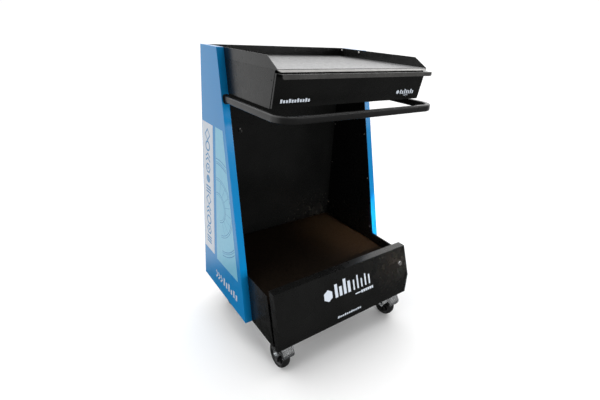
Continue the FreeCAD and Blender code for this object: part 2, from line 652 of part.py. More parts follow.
# ---- casters ---------------------------------------------------------------
def caster_places():
    """Name, swivel axis x and swivel axis forward position of each caster."""
    places = []
    for end, forward in CASTER_FORWARD.items():
        for side, sign in (("left", -1), ("right", 1)):
            places.append((end + "_" + side, sign * CASTER_X, forward))
    return places


def bolt_places():
    """Axis points of all sixteen caster bolts at the height of the base plate's underside."""
    places = []
    for _, x, forward in caster_places():
        for dx in (-BOLT_X / 2, BOLT_X / 2):
            for df in (-BOLT_Y / 2, BOLT_Y / 2):
                places.append(point(x + dx, forward + df, CLEARANCE))
    return places


def caster_bolts():
    """Bolts from below: head under the caster plate, shank through the base plate."""
    bolts = []
    low = CLEARANCE - PLATE_THICK
    for p in bolt_places():
        head = hexagon_prism(NUT_RADIUS, V(p.x, p.y, low - BOLT_HEAD), Z_AXIS, BOLT_HEAD)
        shank = cylinder(BOLT_RADIUS, BASE_TOP + NUT_HEIGHT + 0.5 - low, V(p.x, p.y, low), Z_AXIS)
        bolts.append(fuse([head, shank]))
    return Part.makeCompound(bolts)


def caster_nuts():
    nuts = []
    for p in bolt_places():
        nut = hexagon_prism(NUT_RADIUS, V(p.x, p.y, BASE_TOP), Z_AXIS, NUT_HEIGHT)
        nuts.append(nut.cut(cylinder(BOLT_RADIUS + THREAD_GAP, 20, V(p.x, p.y, BASE_TOP - 5), Z_AXIS)))
    return Part.makeCompound(nuts)


def caster_plate(x, forward):
    """Bolt-on plate with its ball race collar and kingpin."""
    top = CLEARANCE
    low = top - PLATE_THICK
    centre = point(x, forward, low)
    plate = Part.makeBox(PLATE_X, PLATE_Y, PLATE_THICK, centre - V(PLATE_X / 2, PLATE_Y / 2, 0))
    upright = [e for e in plate.Edges if abs(e.tangentAt(e.FirstParameter).z) > 0.5]
    plate = plate.makeFillet(PLATE_CORNER, upright)
    race_bore, race_low, race_high = RACE_RADII
    race = Part.makeCone(race_low, race_high, RACE_HEIGHT, centre - RACE_HEIGHT * Z_AXIS, Z_AXIS)
    race = race.cut(cylinder(race_bore, 20, centre - V(0, 0, 10), Z_AXIS))
    pin = cylinder(AXLE_RADIUS, KINGPIN_LENGTH, centre - KINGPIN_LENGTH * Z_AXIS, Z_AXIS)
    pin_head = cylinder(KINGPIN_HEAD_RADIUS, KINGPIN_HEAD, centre - (KINGPIN_LENGTH + 0.2) * Z_AXIS, Z_AXIS)
    holes = []
    for dx in (-BOLT_X / 2, BOLT_X / 2):
        for dy in (-BOLT_Y / 2, BOLT_Y / 2):
            holes.append(cylinder(BOLT_RADIUS + 0.3, 20, centre + V(dx, dy, -10), Z_AXIS))
    solid = fuse([plate, race, pin, pin_head])
    top_cut = Part.makeBox(200, 200, 20, V(x - 100, centre.y - 100, top))
    return solid.cut(holes + [top_cut])


def fork_leg(x0, x1, forward, braked):
    """One leg: wide under the crown, narrowing to a round eye at the axle."""
    crown = CLEARANCE - FORK_DROP
    axle = forward + TRAIL
    eye = FORK_EYE_RADIUS
    reach = BRAKE_REACH if braked else 0.0
    outline = [(forward - FORK_REAR, crown), (forward - FORK_REAR, crown - 8), (axle - eye, WHEEL_RADIUS),
               (axle + eye, WHEEL_RADIUS), (axle + 12 + reach, crown - 26), (axle + 16 + reach, crown - 14),
               (forward + FORK_FRONT, crown)]
    leg = prism(outline, x0, x1)
    round_eye = cylinder(eye, x1 - x0, point(x0, axle, WHEEL_RADIUS), X_AXIS)
    return fuse([leg, round_eye])


def caster_fork(x, forward, braked):
    """Pressed fork: crown with a bore for the kingpin, and two legs."""
    top = CLEARANCE - FORK_DROP
    inner = FORK_HALF - FORK_SHEET
    legs = [fork_leg(x - FORK_HALF, x - inner, forward, braked),
            fork_leg(x + inner, x + FORK_HALF, forward, braked)]
    crown = block(x - FORK_HALF, x + FORK_HALF, forward - FORK_REAR, forward + FORK_FRONT,
                  top - FORK_SHEET, top)
    collar_inside, collar_outside = COLLAR_RADII
    collar = cylinder(collar_outside, COLLAR_HEIGHT, point(x, forward, top), Z_AXIS)
    collar = collar.cut(cylinder(collar_inside, COLLAR_HEIGHT + 5, point(x, forward, top - 1), Z_AXIS))
    bore = cylinder(AXLE_RADIUS + RUNNING_GAP, 40, point(x, forward, top - 20), Z_AXIS)
    axle_bore = cylinder(AXLE_RADIUS + THREAD_GAP, 60, point(x - 30, forward + TRAIL, WHEEL_RADIUS), X_AXIS)
    cuts = [bore, axle_bore]
    if braked:
        start = pedal_pivot(x, forward) - 30 * X_AXIS
        cuts.append(cylinder(PEDAL_PIN_RADIUS + RUNNING_GAP, 60, start, X_AXIS))
    return fuse(legs + [crown, collar]).cut(cuts)


def caster_axle(x, forward):
    """Axle bolt with its hexagon head, and the nut on the outer side."""
    centre = point(x, forward + TRAIL, WHEEL_RADIUS)
    shank = cylinder(AXLE_RADIUS, 2 * FORK_HALF + AXLE_HEAD + 1, centre - FORK_HALF * X_AXIS, X_AXIS)
    head = hexagon_prism(AXLE_HEAD_RADIUS, centre - (FORK_HALF + AXLE_HEAD) * X_AXIS, X_AXIS, AXLE_HEAD)
    nut = hexagon_prism(AXLE_HEAD_RADIUS, centre + FORK_HALF * X_AXIS, X_AXIS, AXLE_HEAD)
    nut = nut.cut(cylinder(AXLE_RADIUS + THREAD_GAP, 30, centre, X_AXIS))
    return Part.makeCompound([fuse([head, shank]), nut])


def wheel_ring(x, forward, section):
    """Solid of revolution about the axle; section is (offset along x, radius) points."""
    centre = point(x, forward + TRAIL, WHEEL_RADIUS)
    corners = [V(centre.x + s, centre.y, centre.z + r) for s, r in section]
    face = Part.Face(Part.makePolygon(corners + corners[:1]))
    return face.revolve(centre, X_AXIS, 360)


def caster_hub(x, forward):
    """Moulded hub with a thick bore, a thin web and a rim."""
    rim = WHEEL_RADIUS - TREAD_THICK
    half = HUB_LENGTH / 2
    edge = WHEEL_WIDTH / 2 - 2
    bore = AXLE_RADIUS + RUNNING_GAP
    web = HUB_WEB_HALF
    right_side = [(half, bore), (half, HUB_BOSS_RADIUS), (web, HUB_WEB_RADIUS), (web, rim - 7),
                  (edge, rim - 4), (edge, rim)]
    section = right_side + [(-s, r) for s, r in reversed(right_side)]
    return wheel_ring(x, forward, section)


def caster_tyre(x, forward):
    """Rubber tyre with a crowned tread."""
    rim = WHEEL_RADIUS - TREAD_THICK
    half = WHEEL_WIDTH / 2
    centre = point(x, forward + TRAIL, WHEEL_RADIUS)
    ring = cylinder(WHEEL_RADIUS, WHEEL_WIDTH, centre - V(half, 0, 0), X_AXIS)
    rims = [e for e in ring.Edges if abs(e.BoundBox.XLength) < 0.01 and len(e.Vertexes) == 1]
    ring = ring.makeFillet(TREAD_SHOULDER, rims)
    hole = cylinder(rim, WHEEL_WIDTH + 2, centre - V(half + 1, 0, 0), X_AXIS)
    return ring.cut(hole)


def pedal_pivot(x, forward):
    ahead, above = PEDAL_PIVOT
    return point(x, forward + TRAIL + ahead, WHEEL_RADIUS + above)


def brake_pedal(x, forward):
    """Chromed brake pedal: two cheeks, a sloped tread plate and a stepped nose."""
    pivot = pedal_pivot(x, forward)
    base = forward + TRAIL

    def placed(outline, x0, x1):
        return prism([(base + f, z) for f, z in outline], x0, x1)

    cheeks = [placed(PEDAL_CHEEK, x - PEDAL_OUTER, x - PEDAL_INNER),
              placed(PEDAL_CHEEK, x + PEDAL_INNER, x + PEDAL_OUTER)]
    tread = placed(PEDAL_TREAD, x - PEDAL_OUTER, x + PEDAL_OUTER)
    nose = []
    for drop in PEDAL_BAR_DROPS:
        cut = drop * PEDAL_BAR_NARROWING
        rear, front = PEDAL_BAR[0][0] + cut, PEDAL_BAR[2][0] - cut
        bar = [(rear if f == PEDAL_BAR[0][0] else front, z - drop) for f, z in PEDAL_BAR]
        nose.append(placed(bar, x - PEDAL_OUTER, x + PEDAL_OUTER))
    spine = placed(PEDAL_SPINE, x - PEDAL_RIB_HALF, x + PEDAL_RIB_HALF)
    pin = cylinder(PEDAL_PIN_RADIUS, 2 * PEDAL_OUTER, pivot - PEDAL_OUTER * X_AXIS, X_AXIS)
    return fuse(cheeks + [tread, spine, pin] + nose)


# ---- build everything ------------------------------------------------------
def build():
    os.makedirs("parts", exist_ok=True)
    right_cladding = side_cladding()
    right_wall = inner_wall()
    top_outer, top_middle, top_inner = slide_rails(TOP_RAIL_FOOT, TOP_RAIL_LENGTH)
    low_outer, low_middle, low_inner = slide_rails(LOWER_RAIL_FOOT, LOWER_RAIL_LENGTH)
    parts = {
        "right_side_cladding": right_cladding,
        "left_side_cladding": mirrored(right_cladding),
        "right_inner_wall": right_wall,
        "left_inner_wall": mirrored(right_wall),
        "back_panel": back_panel(),
        "cable_hook": cable_hook(),
        "base_box": base_box(),
        "base_plate": base_plate(),
        "shelf": shelf(),
        "shelf_mat": shelf_mat(),
        "drawer_housing": drawer_housing(),
        "worktop_tray": worktop_tray(),
        "worktop_mat": worktop_mat(),
        "push_handle": push_handle(),
        "handle_grommets": both_sides(handle_grommet()),
        "handle_brackets": both_sides(handle_bracket()),
        "wall_screws": screw_group(screw_places()),
        "rim_screws": screw_group([(f, RIM_SCREW_Z) for f in RIM_SCREW_FORWARD]),
        "top_slide_outer_rails": both_sides(top_outer),
        "top_slide_middle_rails": both_sides(top_middle),
        "top_slide_inner_rails": both_sides(top_inner),
        "top_drawer_front": top_drawer_front(),
        "top_drawer_box": top_drawer_box(),
        "top_drawer_liner": drawer_liner(TOP_BOX_FLOOR, TOP_LINER_FRONT),
        "lower_slide_outer_rails": both_sides(low_outer),
        "lower_slide_middle_rails": both_sides(low_middle),
        "lower_slide_inner_rails": both_sides(low_inner),
        "lower_drawer_front": lower_drawer_front(),
        "lower_drawer_box": lower_drawer_box(),
        "lower_drawer_liner": drawer_liner(LOWER_BOX_FLOOR, LOWER_LINER_FRONT),
        "lock_barrel": lock_barrel(),
        "lock_nut": lock_nut(),
        "lock_plug": lock_plug(),
        "lock_cam": lock_cam(),
        "lock_strike": lock_strike(),
        "caster_bolts": caster_bolts(),
        "caster_nuts": caster_nuts(),
    }
    for name, x, forward in caster_places():
        braked = name.startswith("front")
        parts[name + "_caster_plate"] = caster_plate(x, forward)
        parts[name + "_fork"] = caster_fork(x, forward, braked)
        parts[name + "_axle"] = caster_axle(x, forward)
        parts[name + "_hub"] = caster_hub(x, forward)
        parts[name + "_tyre"] = caster_tyre(x, forward)
        if braked:
            parts[name + "_brake_pedal"] = brake_pedal(x, forward)
    for name, shape in parts.items():
        save(name, shape)
    print(len(parts), "parts")


build()
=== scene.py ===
import json
import math
import random

import bmesh
import bpy
from mathutils import Matrix, Vector, noise


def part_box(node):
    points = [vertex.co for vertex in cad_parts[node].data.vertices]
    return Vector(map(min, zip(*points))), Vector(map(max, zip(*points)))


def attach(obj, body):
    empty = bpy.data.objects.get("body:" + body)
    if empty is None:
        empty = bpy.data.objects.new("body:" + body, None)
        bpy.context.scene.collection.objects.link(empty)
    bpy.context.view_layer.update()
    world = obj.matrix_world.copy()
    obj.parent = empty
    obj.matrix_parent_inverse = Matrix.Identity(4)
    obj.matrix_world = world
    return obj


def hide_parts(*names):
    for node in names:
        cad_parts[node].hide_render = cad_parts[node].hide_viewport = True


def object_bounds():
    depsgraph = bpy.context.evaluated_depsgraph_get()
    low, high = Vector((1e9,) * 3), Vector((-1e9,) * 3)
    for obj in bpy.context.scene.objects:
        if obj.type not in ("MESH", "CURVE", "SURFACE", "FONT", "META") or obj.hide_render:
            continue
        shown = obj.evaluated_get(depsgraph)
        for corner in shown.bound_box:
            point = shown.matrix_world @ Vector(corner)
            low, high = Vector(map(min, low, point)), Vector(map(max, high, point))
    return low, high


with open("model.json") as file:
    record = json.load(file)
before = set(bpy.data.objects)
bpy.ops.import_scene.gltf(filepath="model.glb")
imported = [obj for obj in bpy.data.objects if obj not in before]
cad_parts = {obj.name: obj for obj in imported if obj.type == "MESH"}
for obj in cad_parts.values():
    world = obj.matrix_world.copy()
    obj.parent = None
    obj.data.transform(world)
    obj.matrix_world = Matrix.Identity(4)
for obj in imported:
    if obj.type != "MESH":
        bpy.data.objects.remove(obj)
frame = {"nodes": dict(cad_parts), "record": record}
cad_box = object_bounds()

# Looks of a wheeled workshop diagnostics trolley. Everything is in metres, in the
# CAD frame: +X right, +Z up, the front faces -Y. A forward distance is measured
# from the rear plane towards the front.

MM = 0.001
REAR = cad_box[1].y
SIDE = cad_box[1].x                               # outer face of the right-hand column
SHEET_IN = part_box("right_inner_wall")[0].x        # inside of the black walls


def at(x, forward, z):
    """Point from x, forward distance and height, all in millimetres."""
    return Vector((x * MM, REAR - forward * MM, z * MM))


# ---- camera -----------------------------------------------------------------
CAMERA_PLACE = Vector((-0.90825, -1.16317, 1.18525))
CAMERA_YAW = 0.644
CAMERA_PITCH = -0.330
CAMERA_ROLL = 0.066
CAMERA_LENS = 23.57
CAMERA_SHIFT = (-0.0132, -0.0636)


def make_camera():
    """Camera to the front left, looking slightly down; yaw turns from +Y towards +X, in radians."""
    data = bpy.data.cameras.new("camera")
    data.lens = CAMERA_LENS
    data.shift_x, data.shift_y = CAMERA_SHIFT
    data.clip_start = 0.05
    camera = bpy.data.objects.new("camera", data)
    bpy.context.scene.collection.objects.link(camera)
    view = Vector((math.sin(CAMERA_YAW) * math.cos(CAMERA_PITCH),
                   math.cos(CAMERA_YAW) * math.cos(CAMERA_PITCH), math.sin(CAMERA_PITCH)))
    level = Vector((math.cos(CAMERA_YAW), -math.sin(CAMERA_YAW), 0))
    upright = level.cross(view)
    right = math.cos(CAMERA_ROLL) * level + math.sin(CAMERA_ROLL) * upright
    up = math.cos(CAMERA_ROLL) * upright - math.sin(CAMERA_ROLL) * level
    turn = Matrix((right, up, -view)).transposed().to_4x4()
    camera.matrix_world = Matrix.Translation(CAMERA_PLACE) @ turn
    bpy.context.scene.camera = camera


# ---- studio -----------------------------------------------------------------
# Brightness of the surroundings against the sine of the elevation.
GLOW_IN_FRONT = [(-0.70, 0.05), (-0.45, 0.09), (-0.10, 0.09), (0.05, 0.18), (0.14, 0.30), (0.26, 0.12),
                 (0.50, 0.12), (0.80, 0.5)]
GLOW_BEHIND = [(-0.70, 0.03), (-0.56, 0.05), (-0.535, 1.0), (0.08, 1.02), (0.16, 1.25), (0.32, 1.8),
               (0.90, 1.9)]
FRONT_TO_BEHIND = [(-0.35, 0.0), (0.15, 1.0)]     # share of the glow behind, against the Y direction


def make_ramp(tree, source, stops):
    """Grey level that follows a source from -1 to 1 through (source, level) stops in rising order."""
    ramp = tree.nodes.new("ShaderNodeValToRGB")
    shifted = tree.nodes.new("ShaderNodeMapRange")
    shifted.inputs["From Min"].default_value = -1
    tree.links.new(source, shifted.inputs["Value"])
    tree.links.new(shifted.outputs["Result"], ramp.inputs["Fac"])
    elements = ramp.color_ramp.elements
    for _ in stops[2:]:
        elements.new(1.0)
    for element, (value, level) in zip(elements, stops):
        element.position = (value + 1) / 2
        element.color = (level, level, level, 1)
    return ramp.outputs["Color"]


def make_world():
    """Pale studio: bright behind and to the sides, dim in front, dark below the horizon."""
    scene = bpy.context.scene
    scene.view_settings.view_transform = "Standard"
    world = bpy.data.worlds.new("studio")
    scene.world = world
    world.use_nodes = True
    tree = world.node_tree
    tree.nodes.clear()
    direction = tree.nodes.new("ShaderNodeTexCoord")
    split = tree.nodes.new("ShaderNodeSeparateXYZ")
    tree.links.new(direction.outputs["Generated"], split.inputs[0])
    mix = tree.nodes.new("ShaderNodeMix")
    mix.data_type = "RGBA"
    for socket, axis, stops in (("A", "Z", GLOW_IN_FRONT), ("B", "Z", GLOW_BEHIND),
                                ("Factor", "Y", FRONT_TO_BEHIND)):
        tree.links.new(make_ramp(tree, split.outputs[axis], stops), mix.inputs[socket])
    background = tree.nodes.new("ShaderNodeBackground")
    output = tree.nodes.new("ShaderNodeOutputWorld")
    tree.links.new(mix.outputs["Result"], background.inputs["Color"])
    tree.links.new(background.outputs[0], output.inputs["Surface"])


def make_lamp(name, place, target, width, power, mirrored=True):
    """Oval soft lamp; mirrored says whether its own shape shows in reflections."""
    data = bpy.data.lights.new(name, "AREA")
    data.shape = "ELLIPSE"
    data.size, data.size_y = width
    data.energy = power
    lamp = bpy.data.objects.new(name, data)
    bpy.context.scene.collection.objects.link(lamp)
    lamp.location = place
    lamp.rotation_euler = (Vector(target) - Vector(place)).to_track_quat("-Z", "Y").to_euler()
    lamp.visible_glossy = mirrored
    return data


def make_lamps():
    """Soft light from above, the right and the front, and a narrow warm beam onto the shelf."""
    make_lamp("top_lamp", place=(0.3, -0.85, 3.4), target=(0, -0.1, 0.5), width=(1.0, 1.0), power=6)
    make_lamp("front_lamp", place=(2.0, -2.5, 1.45), target=(0, 0, 0.85), width=(2.6, 0.6), power=9)
    make_lamp("fill_lamp", place=(0.2, -3.4, 0.85), target=(0, 0, 0.75), width=(1.4, 0.8), power=68,
              mirrored=False)
    warm = make_lamp("warm_lamp", place=(0.45, -2.4, 1.9), target=(0.27, -0.02, 0.26), width=(0.2, 0.2),
                     power=0.6, mirrored=False)
    warm.spread = math.radians(8)
    warm.color = (1.0, 0.86, 0.70)


FLOOR_REACH = 40


def make_floor():
    """Pale floor that takes shadows; the trolley neither mirrors it nor is lit by it."""
    mesh = bpy.data.meshes.new("floor")
    corners = [(x * FLOOR_REACH, y * FLOOR_REACH, 0) for x, y in ((-1, -1), (1, -1), (1, 1), (-1, 1))]
    mesh.from_pydata(corners, [], [(0, 1, 2, 3)])
    floor = bpy.data.objects.new("floor", mesh)
    bpy.context.scene.collection.objects.link(floor)
    look = Look("pale_floor", 0.9)
    look.colour((0.97, 0.97, 0.97), (0.95, 0.95, 0.95), look.noise(1.5, 3))
    mesh.materials.append(look.material)
    floor.visible_glossy = False
    floor.visible_diffuse = False


# ---- materials --------------------------------------------------------------
BORDER = 0.2 * MM                    # half-width of the border between two tones


class Look:
    """A node material under construction: a Principled shader with textures in object space."""

    def __init__(self, name, roughness, metallic=0.0, specular=0.5):
        self.material = bpy.data.materials.new(name)
        self.material.use_nodes = True
        self.tree = self.material.node_tree
        self.tree.nodes.clear()
        output = self.tree.nodes.new("ShaderNodeOutputMaterial")
        self.shader = self.tree.nodes.new("ShaderNodeBsdfPrincipled")
        self.tree.links.new(self.shader.outputs[0], output.inputs["Surface"])
        self.place = self.tree.nodes.new("ShaderNodeTexCoord").outputs["Object"]
        for socket, value in (("Roughness", roughness), ("Metallic", metallic),
                              ("Specular IOR Level", specular)):
            self.shader.inputs[socket].default_value = value
        self.normal = None

    def stretched(self, scale):
        """Object coordinates scaled by three factors."""
        node = self.tree.nodes.new("ShaderNodeMapping")
        node.inputs["Scale"].default_value = scale
        self.tree.links.new(self.place, node.inputs["Vector"])
        return node.outputs[0]

    def noise(self, scale, detail=2.0, place=None):
        node = self.tree.nodes.new("ShaderNodeTexNoise")
        node.inputs["Scale"].default_value = scale
        node.inputs["Detail"].default_value = detail
        self.tree.links.new(place or self.place, node.inputs["Vector"])
        return node.outputs[0]

    def cells(self, scale, output="Distance"):
        node = self.tree.nodes.new("ShaderNodeTexVoronoi")
        node.inputs["Scale"].default_value = scale
        self.tree.links.new(self.place, node.inputs["Vector"])
        return node.outputs[output]

    def spread(self, value, low, high, source_low=0.3, source_high=0.7):
        """Value stretched from a source range to low..high."""
        node = self.tree.nodes.new("ShaderNodeMapRange")
        for socket, number in (("From Min", source_low), ("From Max", source_high),
                               ("To Min", low), ("To Max", high)):
            node.inputs[socket].default_value = number
        self.tree.links.new(value, node.inputs["Value"])
        return node.outputs["Result"]

    def blend(self, factor, first, second):
        """Colour between two colours, each three numbers or a socket."""
        node = self.tree.nodes.new("ShaderNodeMix")
        node.data_type = "RGBA"
        self.tree.links.new(factor, node.inputs["Factor"])
        for socket, colour in ((node.inputs["A"], first), (node.inputs["B"], second)):
            if isinstance(colour, tuple):
                socket.default_value = (*colour, 1)
            else:
                self.tree.links.new(colour, socket)
        return node.outputs["Result"]

    def tones(self, texture, first, second):
        """Colour that wanders between two colours with a texture."""
        return self.blend(self.spread(texture, 0, 1), first, second)

    def colour(self, first, second, texture):
        self.paint(self.tones(texture, first, second))

    def paint(self, colour):
        self.tree.links.new(colour, self.shader.inputs["Base Color"])

    def roughness(self, low, high, texture):
        self.tree.links.new(self.spread(texture, low, high), self.shader.inputs["Roughness"])

    def along(self, axis):
        """One object-space coordinate."""
        split = self.tree.nodes.new("ShaderNodeSeparateXYZ")
        self.tree.links.new(self.place, split.inputs[0])
        return split.outputs[axis]

    def ahead_of(self, y):
        """1 in front of that Y plane and 0 behind it."""
        return self.spread(self.along("Y"), 1, 0, y - BORDER, y + BORDER)

    def above(self, z):
        """1 above that height and 0 below it."""
        return self.spread(self.along("Z"), 0, 1, z - BORDER, z + BORDER)

    def both(self, first, second):
        node = self.tree.nodes.new("ShaderNodeMath")
        node.operation = "MULTIPLY"
        self.tree.links.new(first, node.inputs[0])
        self.tree.links.new(second, node.inputs[1])
        return node.outputs[0]

    def bump(self, height, depth):
        """Adds a bump layer of that depth in metres over the earlier ones."""
        node = self.tree.nodes.new("ShaderNodeBump")
        node.inputs["Strength"].default_value = 1.0
        node.inputs["Distance"].default_value = depth
        self.tree.links.new(height, node.inputs["Height"])
        if self.normal:
            self.tree.links.new(self.normal, node.inputs["Normal"])
        self.normal = node.outputs[0]
        self.tree.links.new(self.normal, self.shader.inputs["Normal"])


BLACK_COAT = ((0.0056, 0.0058, 0.0056), (0.0088, 0.0089, 0.0086))
HANDLE_COAT = ((0.009, 0.009, 0.009), (0.014, 0.014, 0.014))


def powder_coat(name, tones, roughness, specular, highlight_from=None, highlight_level=0.0):
    """Fine-textured powder coat; beyond highlight_from, a Y plane and a height, its colour is painted paler
    as a highlight.
    """
    look = Look(name, roughness, specular=specular)
    body = look.tones(look.noise(7, 4), *tones)
    if highlight_from is None:
        look.paint(body)
    else:
        # Painted highlight: a paler tone is painted ahead of the Y plane and above the height.
        levels = [highlight_level * share for share in (0.85, 1.15)]
        highlight = look.tones(look.noise(22, 3), *[(level, level * 0.98, level * 0.94) for level in levels])
        look.paint(look.blend(look.both(look.ahead_of(highlight_from[0]), look.above(highlight_from[1])), body, highlight))
    look.roughness(roughness - 0.04, roughness + 0.05, look.noise(35, 3))
    look.bump(look.noise(320, 2), 0.00006)
    look.bump(look.noise(1500, 2), 0.000018)
    return look.material


def hook_steel(edge):
    """Black plate with a bright wire hook ahead of the Y plane edge."""
    look = Look("hook_steel", 0.3)
    wire = look.ahead_of(edge)
    plate = look.tones(look.noise(40, 3), (0.009, 0.009, 0.009), (0.013, 0.013, 0.013))
    look.paint(look.blend(wire, plate, (0.78, 0.77, 0.74)))
    look.tree.links.new(wire, look.shader.inputs["Metallic"])
    look.roughness(0.22, 0.34, look.noise(160, 2))
    look.bump(look.noise(500, 2), 0.00003)
    return look.material


def gloss_paint():
    """Blue gloss coat on the folded columns, with a shallow orange peel."""
    look = Look("blue_gloss_coat", 0.16, specular=0.5)
    look.colour((0.004, 0.265, 0.64), (0.005, 0.285, 0.68), look.noise(5, 3))
    look.roughness(0.13, 0.19, look.noise(40, 2))
    look.bump(look.noise(260, 2), 0.00002)
    return look.material


def print_ink(name, first, second):
    """Printed film: a faint cloudiness and a fine satin grain."""
    look = Look(name, 0.15, specular=0.5)
    look.colour(first, second, look.noise(60, 3))
    look.roughness(0.12, 0.18, look.noise(25, 2))
    look.bump(look.noise(260, 2), 0.00002)
    return look.material


def moulded(name, dark, light, roughness):
    """Moulded plastic or solid rubber with a stippled surface."""
    look = Look(name, roughness, specular=0.4)
    look.colour(dark, light, look.noise(30, 4))
    look.roughness(roughness - 0.07, roughness + 0.07, look.noise(90, 3))
    look.bump(look.cells(1800), 0.00003)
    look.bump(look.noise(240, 3), 0.00005)
    return look.material


def plated(name, first, second, roughness, grain):
    """Plated steel: cloudy tone, roughness that varies and faint drawing lines."""
    look = Look(name, roughness, metallic=1.0)
    look.colour(first, second, look.noise(45, 4))
    look.roughness(roughness * 0.75, roughness * 1.3, look.noise(110, 3))
    look.bump(look.noise(90, 2, look.stretched((1, 14, 14))), grain)
    return look.material


def granulate():
    """Bonded rubber granules, mostly brown-black with lighter flecks."""
    look = Look("shelf_granulate", 0.8, specular=0.08)
    granule = look.spread(look.cells(420, "Color"), 0, 1, 0.1, 0.9)
    body = look.blend(granule, (0.0042, 0.0028, 0.0019), (0.019, 0.0118, 0.0068))
    fleck = look.spread(look.noise(700, 2), 0, 0.4, 0.62, 0.70)
    look.paint(look.blend(fleck, body, (0.075, 0.048, 0.029)))
    look.roughness(0.7, 0.92, look.noise(200, 2))
    look.bump(look.cells(420), 0.0007)
    look.bump(look.noise(1100, 2), 0.0002)
    return look.material


def ribbed_rubber(name, dark, light, roughness, front_sheen=0.0):
    """Rubber mat; its colour is raised towards the front by the front_sheen share, a painted sheen."""
    look = Look(name, roughness, specular=0.42)
    body = look.tones(look.noise(9, 5), dark, light)
    # Painted sheen: the colour is lightened towards the front, where the mat shows more reflection.
    share = look.spread(look.along("Y"), front_sheen, 0, -0.2, 0.2)
    look.paint(look.blend(share, body, (0.30, 0.30, 0.305)))
    look.roughness(roughness - 0.06, roughness + 0.08, look.noise(55, 3))
    look.bump(look.noise(1300, 2), 0.00005)
    return look.material


def make_looks():
    """One material per material slot of the record, and one per printing ink."""
    return {
        "blue_cladding": gloss_paint(),
        "black_frame": powder_coat("black_powder_coat", BLACK_COAT, 0.27, 0.34),
        "handle_tube": powder_coat("handle_powder_coat", HANDLE_COAT, 0.30, 0.45),
        "worktop_rubber": ribbed_rubber("worktop_ribbed_rubber", (0.027, 0.027, 0.027), (0.038, 0.038, 0.039),
                                        0.33, 0.75),
        "liner_rubber": ribbed_rubber("liner_ribbed_rubber", (0.016, 0.016, 0.017), (0.028, 0.028, 0.029),
                                      0.55),
        "shelf_rubber": granulate(),
        "black_plastic": moulded("black_moulding", (0.010, 0.010, 0.010), (0.016, 0.016, 0.016), 0.45),
        "bright_screw": plated("nickel_plate", (0.80, 0.78, 0.75), (0.68, 0.67, 0.65), 0.26, 0.00002),
        "slide_steel": plated("slide_zinc", (0.60, 0.62, 0.64), (0.48, 0.50, 0.53), 0.32, 0.00003),
        "zinc_steel": plated("caster_zinc", (0.90, 0.92, 0.93), (0.74, 0.77, 0.79), 0.24, 0.00003),
        "chrome_trim": plated("chrome_plate", (0.95, 0.96, 0.97), (0.86, 0.88, 0.90), 0.16, 0.00001),
        "tyre_rubber": moulded("tyre_solid_rubber", (0.010, 0.010, 0.010), (0.020, 0.020, 0.020), 0.58),
        "hub_plastic": moulded("hub_nylon", (0.016, 0.016, 0.017), (0.026, 0.026, 0.027), 0.42),
        "white_print": print_ink("white_ink", (0.74, 0.80, 0.88), (0.70, 0.77, 0.86)),
        "light_blue_print": print_ink("light_blue_ink", (0.22, 0.60, 0.82), (0.25, 0.63, 0.85)),
        "line_blue_print": print_ink("line_blue_ink", (0.05, 0.27, 0.55), (0.06, 0.29, 0.58)),
    }


# ---- CAD nodes that are kept ------------------------------------------------
WELD_DISTANCE = 0.00001
FLAT_WITHIN = 0.6                    # degrees between faces that count as one flat
SHARP_FROM = 32                      # degrees between faces whose edge is rounded


def weld_and_smooth():
    """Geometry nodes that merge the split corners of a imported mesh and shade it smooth."""
    group = bpy.data.node_groups.new("weld_and_smooth", "GeometryNodeTree")
    group.interface.new_socket("Geometry", in_out="INPUT", socket_type="NodeSocketGeometry")
    group.interface.new_socket("Geometry", in_out="OUTPUT", socket_type="NodeSocketGeometry")
    start = group.nodes.new("NodeGroupInput")
    weld = group.nodes.new("GeometryNodeMergeByDistance")
    weld.inputs["Distance"].default_value = WELD_DISTANCE
    shade = group.nodes.new("GeometryNodeSetShadeSmooth")
    end = group.nodes.new("NodeGroupOutput")
    group.links.new(start.outputs[0], weld.inputs["Geometry"])
    group.links.new(weld.outputs[0], shade.inputs["Geometry"])
    group.links.new(shade.outputs[0], end.inputs[0])
    return group


def finish_edges(obj, group, radius):
    """Small round on every sharp edge, with flat faces that stay flat."""
    weld = obj.modifiers.new("weld", "NODES")
    weld.node_group = group
    flat = obj.modifiers.new("flat", "DECIMATE")
    flat.decimate_type = "DISSOLVE"
    flat.angle_limit = math.radians(FLAT_WITHIN)
    bevel = obj.modifiers.new("edges", "BEVEL")
    bevel.width = radius
    bevel.segments = 2
    bevel.limit_method = "ANGLE"
    bevel.angle_limit = math.radians(SHARP_FROM)
    normals = obj.modifiers.new("normals", "WEIGHTED_NORMAL")
    normals.weight = 90


LIP_HIGHLIGHT = 8.5 * MM                  # depth and height of the worktop tray's front lip band that is painted paler as a highlight
TRAY_LIP_TOP = 1068 * MM
GRIP_HIGHLIGHT = 4 * MM                   # depth of the top drawer's finger grip front that is painted paler as a reflection
HOOK_PLATE = 2.2 * MM                # thickness of the plate that carries the hook
SHEET_ROUND = 0.4 * MM
EDGE_ROUND = {"blue_cladding": 0.9 * MM, "zinc_steel": 0.6 * MM, "chrome_trim": 0.6 * MM,
              "black_plastic": 0.6 * MM, "worktop_tray": 1.0 * MM, "drawer_housing": 1.0 * MM}


